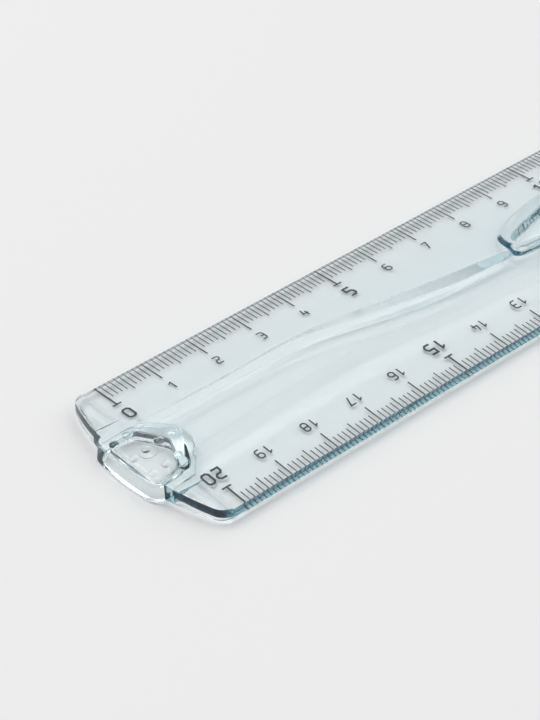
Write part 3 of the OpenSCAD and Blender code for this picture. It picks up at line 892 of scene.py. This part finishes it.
def build_pad(name, material, turned):
    """End pad: pocket, sole, wall that leans in, rounded top with studs"""
    shape = Shape()
    n = len(PAD_LOOP)
    zeros = np.zeros(n)
    lap = JOINT_LAP / 2

    def wall_ring(z, more):
        return shape.ring(pad_at(z, more), z)

    # Pocket, from the ceiling down to the sole
    outline = pocket_plan()
    inward = -normals_of(outline)
    rings = []
    for k in range(POCKET_STEPS + 1):
        a = math.radians(90 - (90 - POCKET_DRAFT) * k / POCKET_STEPS)
        plan = outline + inward * POCKET_ROUND * (1 - math.cos(a))
        z = pocket_ceiling(plan) - POCKET_ROUND * (1 - math.sin(a))
        rings.append(shape.ring(plan, z))
    for more, z in ((0.0, SOLE_ROUND), (-0.05, SOLE_ROUND / 3), (-SOLE_ROUND / 2, 0)):
        rings.append(shape.ring(outline + inward * (more - POCKET_NARROWS), z))
    pocket = rings[0]
    ceiling_plan = np.array([shape.points[i][:2] for i in pocket])

    # Sole and outer wall, up to the top's rounding
    for k in range(SOLE_STEPS + 1):
        a = math.pi / 2 * k / SOLE_STEPS
        more = SOLE_ROUND * (1 - math.sin(a))
        rings.append(wall_ring(zeros + SOLE_ROUND * (1 - math.cos(a)), zeros + more))
    in_blade = len(rings)
    rings.append(wall_ring(zeros + UNDER_Z, zeros - lap * IN_BLADE))
    z_round = JOINT_Z.copy()
    for _ in range(4):
        base = pad_at(z_round, PAD_ROUNDING * ROUNDING_REACH)
        z_round = pad_top(base[:, 0], base[:, 1]) - PAD_ROUNDING
    joint_z = np.where(IN_BLADE, JOINT_Z, z_round * FREE_WALL)
    rings.append(wall_ring(joint_z, zeros - lap * IN_BLADE))
    lean_angle = np.arctan(PAD_LEAN + LEAN_ABOVE)
    low = np.maximum(joint_z + ABOVE_JOINT, z_round + PAD_ROUNDING * np.sin(lean_angle))
    reach = pad_inset(z_round) + PAD_ROUNDING / np.cos(lean_angle)
    start = np.arcsin(np.clip((low - z_round) / PAD_ROUNDING, 0, LATEST_START))
    for k in range(PAD_ROUND_STEPS + 1):
        a = start + (np.pi / 2 - start) * k / PAD_ROUND_STEPS
        plan = PAD_LOOP - PAD_NORMAL * (reach - PAD_ROUNDING * np.cos(a))[:, None]
        z = pad_top(plan[:, 0], plan[:, 1]) - PAD_ROUNDING * (1 - np.sin(a))
        rings.append(shape.ring(plan, z))
    for k, (a, b) in enumerate(zip(rings, rings[1:])):
        flags = np.zeros(n)
        if k == in_blade:
            flags[NEAR_MOUTH:FAR_MOUTH] = 1
        shape.strip(a, b, joint=flags, frost=1 if k < POCKET_STEPS + 2 else 0)
    top_plan = np.array([shape.points[i][:2] for i in rings[-1]])

    # Top with studs
    centres = [(x, y + PAD_Y) for x, y in STUDS]
    detail = circles(centres, [STUD_R * share for share in STUD_SHARES], STUD_POINTS)
    detail = detail[inside(detail, top_plan)]
    detail = detail[nearest(detail, top_plan) > STUD_RIM]
    grid = lattice((-PAD_TIP_X, -PAD_GRID_Y), (-PAD_POINT_X + 2, PAD_GRID_Y), PAD_GRID)
    grid = grid[inside(grid, top_plan)]
    grid = grid[nearest(grid, top_plan) > PAD_GRID_APART]
    grid = thinned(grid, detail, PAD_GRID_APART)
    shape.cap([rings[-1]], np.vstack([detail, grid]), pad_surface)

    # Ceiling with its round mark
    centre = [(RING_X, RING_Y + PAD_Y)]
    ring = circles(centre, [RING_R + d for d in RING_OFFSETS], RING_POINTS)
    grid = lattice((-PAD_TIP_X, -PAD_GRID_Y), (-PAD_POINT_X + 2, PAD_GRID_Y), CEILING_GRID)
    grid = grid[inside(grid, ceiling_plan)]
    grid = grid[nearest(grid, ceiling_plan) > CEILING_GRID_APART]
    grid = thinned(grid, ring, CEILING_GRID_APART)
    shape.cap([pocket], np.vstack([ring, grid]), pocket_ceiling)
    return shape.to_object(name, material, turned)


# Finger grip

NEAR_RIM = [(0.0, 0.0), (0.06, 0.3), (0.12, 0.55), (0.22, 0.78), (0.38, 0.93), (0.6, 1.0)]
FAR_RIM = [(0.0, 0.0), (0.3, 0.05), (0.8, 0.24), (1.35, 0.52), (1.9, 0.78), (2.5, 0.95)]
RIM_CREST_Z = GRIP_TOP_Z - 0.05
FAR_RIM_SPARE, FAR_RIM_LEAST, FAR_RIM_W = 0.8, 0.3, 3.2
RIM_END = 0.45
RIM_TURN = ((-0.35, 0), (-0.18, -0.05), (-0.05, -0.18), (0.02, -0.4))
RECESS_WALL = ((0.2, 0.55), (0.32, 0.25), (0.42, 0.12), (0.56, 0.04), (0.75, 0.0))
GRIP_GRID, GRIP_GRID_RIM = 0.7, 0.3


def build_grip(material):
    """Finger grip: wall in the blade, broad or narrow rim, and the recess down to its floor"""
    shape = Shape()
    wide = far_share(GRIP_LOOP)
    across = RECESS_LOOP - GRIP_LOOP
    width = np.linalg.norm(across, axis=1)
    across /= width[:, None]
    lap = GRIP_NORMAL * JOINT_LAP / 2
    joint_z = plain_top(GRIP_LOOP[:, 0], GRIP_LOOP[:, 1]) + GRIP_FILLET
    rings = [shape.ring(GRIP_LOOP + lap, UNDER_Z), shape.ring(GRIP_LOOP + lap, joint_z)]
    rise = RIM_CREST_Z - joint_z

    def profile(s, z):
        rings.append(shape.ring(GRIP_LOOP + across * np.minimum(s, width + 2)[:, None], z))

    for (s0, h0), (s1, h1) in zip(NEAR_RIM[1:], FAR_RIM[1:]):
        broad = s1 * np.maximum(width - FAR_RIM_SPARE, FAR_RIM_LEAST) / FAR_RIM_W
        s = np.minimum(s0 + (broad - s0) * wide, width - RIM_END)
        h = h0 + (h1 - h0) * wide
        profile(s, joint_z + rise * h)
    for s, h in RIM_TURN:
        profile(width + s, RIM_CREST_Z + h)
    for s, share in RECESS_WALL:
        profile(width + s, FLOOR_Z + share * (RIM_CREST_Z - FLOOR_Z))
    flags = np.ones(len(GRIP_LOOP))
    for k, (a, b) in enumerate(zip(rings, rings[1:])):
        shape.strip(a, b, joint=flags if k == 0 else None)
    plan = np.array([shape.points[i][:2] for i in rings[-1]])
    grid = lattice((-GRIP_HALF_L, -GRIP_HALF_W), (GRIP_HALF_L, GRIP_HALF_W), GRIP_GRID)
    grid = grid[inside(grid, plan)]
    grid = grid[nearest(grid, plan) > GRIP_GRID_RIM]
    shape.cap([rings[-1]], grid, lambda p: np.full(len(p), FLOOR_Z))
    shape.cap([rings[0]], [], lambda p: np.full(len(p), UNDER_Z))
    return shape.to_object("clear_finger_grip", material)


# Materials

def new_material(name):
    mat = bpy.data.materials.new(name)
    mat.use_nodes = True
    tree = mat.node_tree
    tree.nodes.clear()
    return mat, tree


def linked(tree, socket, value):
    """Sets a socket to a value, or links another node's output to it"""
    if isinstance(value, bpy.types.NodeSocket):
        tree.links.new(value, socket)
    else:
        socket.default_value = value


def noise(tree, coords, scale, detail):
    made = tree.nodes.new("ShaderNodeTexNoise")
    made.inputs["Scale"].default_value = scale
    made.inputs["Detail"].default_value = detail
    tree.links.new(coords, made.inputs["Vector"])
    return made.outputs["Fac"]


def ranged(tree, value, low, high, from_low=0.3, from_high=0.7):
    """The value's range, at first the middle of a noise, brought to low and high"""
    made = tree.nodes.new("ShaderNodeMapRange")
    made.inputs["From Min"].default_value = from_low
    made.inputs["From Max"].default_value = from_high
    made.inputs["To Min"].default_value = low
    made.inputs["To Max"].default_value = high
    tree.links.new(value, made.inputs["Value"])
    return made.outputs["Result"]


def maths(tree, operation, *values):
    made = tree.nodes.new("ShaderNodeMath")
    made.operation = operation
    for socket, value in zip(made.inputs, values):
        linked(tree, socket, value)
    return made.outputs["Value"]


def attribute(tree, name):
    made = tree.nodes.new("ShaderNodeAttribute")
    made.attribute_name = name
    return made.outputs["Fac"]


def bump(tree, height, strength, distance):
    made = tree.nodes.new("ShaderNodeBump")
    made.inputs["Strength"].default_value = strength
    made.inputs["Distance"].default_value = distance
    tree.links.new(height, made.inputs["Height"])
    return made.outputs["Normal"]


def clear_plastic(name, wave_scale):
    """Tinted clear plastic with uneven polish and faint waves; joint faces don't bend or blur light"""
    mat, tree = new_material(name)
    coords = tree.nodes.new("ShaderNodeTexCoord").outputs["Object"]
    out = tree.nodes.new("ShaderNodeOutputMaterial")
    body = tree.nodes.new("ShaderNodeBsdfPrincipled")
    body.inputs["Base Color"].default_value = (1, 1, 1, 1)
    body.inputs["Transmission Weight"].default_value = 1
    joint = attribute(tree, "joint")
    linked(tree, body.inputs["IOR"], ranged(tree, joint, IOR, 1, 0, 1))
    polish = ranged(tree, noise(tree, coords, 90, 3), 0, POLISH)
    gloss = maths(tree, "MULTIPLY", polish, maths(tree, "SUBTRACT", 1, joint))
    rough = maths(tree, "MULTIPLY_ADD", attribute(tree, "frost"), FROST, gloss)
    linked(tree, body.inputs["Roughness"], rough)
    wave = bump(tree, noise(tree, coords, wave_scale, 2), WAVE_STRENGTH, WAVE_HEIGHT)
    linked(tree, body.inputs["Normal"], wave)
    inner = tree.nodes.new("ShaderNodeVolumeAbsorption")
    inner.inputs["Color"].default_value = ABSORBED_TO
    inner.inputs["Density"].default_value = ABSORPTION
    tree.links.new(body.outputs["BSDF"], out.inputs["Surface"])
    tree.links.new(inner.outputs["Volume"], out.inputs["Volume"])
    return mat


def ink_material():
    """Flat dark print with a fine grain"""
    mat, tree = new_material("scale_ink")
    coords = tree.nodes.new("ShaderNodeTexCoord").outputs["Object"]
    out = tree.nodes.new("ShaderNodeOutputMaterial")
    body = tree.nodes.new("ShaderNodeBsdfPrincipled")
    ramp = tree.nodes.new("ShaderNodeValToRGB")
    ramp.color_ramp.elements[0].color = INK_DARK
    ramp.color_ramp.elements[1].color = INK_LIGHT
    linked(tree, ramp.inputs["Fac"], noise(tree, coords, 900, 4))
    linked(tree, body.inputs["Base Color"], ramp.outputs["Color"])
    linked(tree, body.inputs["Roughness"], ranged(tree, noise(tree, coords, 1500, 3), 0.45, 0.65))
    linked(tree, body.inputs["Normal"], bump(tree, noise(tree, coords, 2500, 2), 0.3, 0.00001))
    linked(tree, out.inputs["Surface"], body.outputs["BSDF"])
    return mat


def floor_material():
    mat, tree = new_material("studio_floor")
    out = tree.nodes.new("ShaderNodeOutputMaterial")
    body = tree.nodes.new("ShaderNodeBsdfDiffuse")
    body.inputs["Color"].default_value = (FLOOR_GREY, FLOOR_GREY, FLOOR_GREY, 1)
    tree.links.new(body.outputs["BSDF"], out.inputs["Surface"])
    return mat


# Stage

def build_floor():
    """Plain pale floor, a little under the soles"""
    mesh = bpy.data.meshes.new("studio_floor")
    bm = bmesh.new()
    bmesh.ops.create_grid(bm, x_segments=4, y_segments=4, size=4)
    bm.to_mesh(mesh)
    bm.free()
    mesh.materials.append(floor_material())
    obj = bpy.data.objects.new("studio_floor", mesh)
    obj.location.z = -FLOOR_GAP * MM
    bpy.context.scene.collection.objects.link(obj)


def build_world():
    """Soft studio: lit from above and low down behind, darker at mid height and on the camera's side"""
    world = bpy.data.worlds.new("studio")
    bpy.context.scene.world = world
    world.use_nodes = True
    tree = world.node_tree
    tree.nodes.clear()
    out = tree.nodes.new("ShaderNodeOutputWorld")
    back = tree.nodes.new("ShaderNodeBackground")
    coords = tree.nodes.new("ShaderNodeTexCoord")
    split = tree.nodes.new("ShaderNodeSeparateXYZ")
    ramp = tree.nodes.new("ShaderNodeValToRGB")
    elements = ramp.color_ramp.elements
    elements[0].position, elements[1].position = SKY[0][0], SKY[-1][0]
    for place, _ in SKY[1:-1]:
        elements.new(place)
    for element, (_, level) in zip(elements, SKY):
        element.color = (level, level, level, 1)
    front = tree.nodes.new("ShaderNodeVectorMath")
    front.operation = "DOT_PRODUCT"
    front.inputs[1].default_value = FRONT_WAY
    shade = tree.nodes.new("ShaderNodeMapRange")
    shade.inputs["From Max"].default_value = 0.5
    shade.inputs["To Min"].default_value = 1
    shade.inputs["To Max"].default_value = FRONT_SHADE
    tree.links.new(coords.outputs["Generated"], split.inputs["Vector"])
    tree.links.new(coords.outputs["Generated"], front.inputs[0])
    tree.links.new(front.outputs["Value"], shade.inputs["Value"])
    tree.links.new(split.outputs["Z"], ramp.inputs["Fac"])
    tree.links.new(ramp.outputs["Color"], back.inputs["Color"])
    tree.links.new(shade.outputs["Result"], back.inputs["Strength"])
    tree.links.new(back.outputs["Background"], out.inputs["Surface"])


def build_lamp(name, place, target, size, power):
    """Round area lamp at a place, aimed at a target"""
    data = bpy.data.lights.new(name, "AREA")
    data.shape = "DISK"
    data.size = size
    data.energy = power
    obj = bpy.data.objects.new(name, data)
    aim = Vector(target) - Vector(place)
    obj.location = place
    obj.rotation_euler = aim.to_track_quat("-Z", "Y").to_euler()
    bpy.context.scene.collection.objects.link(obj)


def build_camera():
    """Camera at the photograph's angle, fitted to the graduation marks"""
    azimuth, elevation, roll = (
        math.radians(a) for a in (CAMERA_AZIMUTH, CAMERA_ELEVATION, CAMERA_ROLL)
    )
    target = Vector((*CAMERA_TARGET, LIFT)) * MM
    distance = CAMERA_DISTANCE * MM
    flat = math.cos(elevation)
    ahead = Vector((flat * math.sin(azimuth), flat * math.cos(azimuth), -math.sin(elevation)))
    level = Vector((math.cos(azimuth), -math.sin(azimuth), 0))
    raised = level.cross(ahead)
    right = level * math.cos(roll) + raised * math.sin(roll)
    up = right.cross(ahead)
    data = bpy.data.cameras.new("camera")
    data.sensor_fit = "VERTICAL"
    data.sensor_height = CAMERA_SENSOR
    data.lens = CAMERA_LENS
    data.clip_start = 0.01
    data.clip_end = 20
    obj = bpy.data.objects.new("camera", data)
    turn = Matrix((right, up, -ahead)).transposed()
    obj.matrix_world = Matrix.Translation(target - ahead * distance) @ turn.to_4x4()
    bpy.context.scene.collection.objects.link(obj)
    bpy.context.scene.camera = obj


def dress_ink():
    """Gives the printed CAD nodes their ink"""
    ink = ink_material()
    for side in ("upper", "lower"):
        for kind in ("fine_marks", "half_marks", "cm_marks", "main_marks", "numbers", "main_numbers"):
            obj = bpy.data.objects[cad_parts[side + "_" + kind].name]
            for slot in obj.material_slots:
                slot.material = ink


build_camera()
build_world()
build_floor()
build_lamp("soft_key", (-0.25, 0.75, 1.1), (-0.05, 0, 0), 0.7, 3.5)

blade_plastic = clear_plastic("blade_plastic", 140)
insert_plastic = clear_plastic("insert_plastic", 200)
pieces = [
    (build_blade(blade_plastic), "clear_blade", "blade"),
    (build_pad("clear_left_pad", insert_plastic, False), "clear_insert", "left_end_pad"),
    (build_pad("clear_right_pad", insert_plastic, True), "clear_insert", "right_end_pad"),
    (build_grip(insert_plastic), "clear_insert", "finger_grip"),
]
for piece, slot, replaced in pieces:
    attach(piece, "root")
    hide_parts(replaced)
dress_ink()

scene = bpy.context.scene
scene.view_settings.view_transform = "Standard"
scene.cycles.blur_glossy = 0
scene.cycles.max_bounces = LONG_PATH
scene.cycles.transmission_bounces = LONG_PATH
scene.cycles.glossy_bounces = LONG_PATH
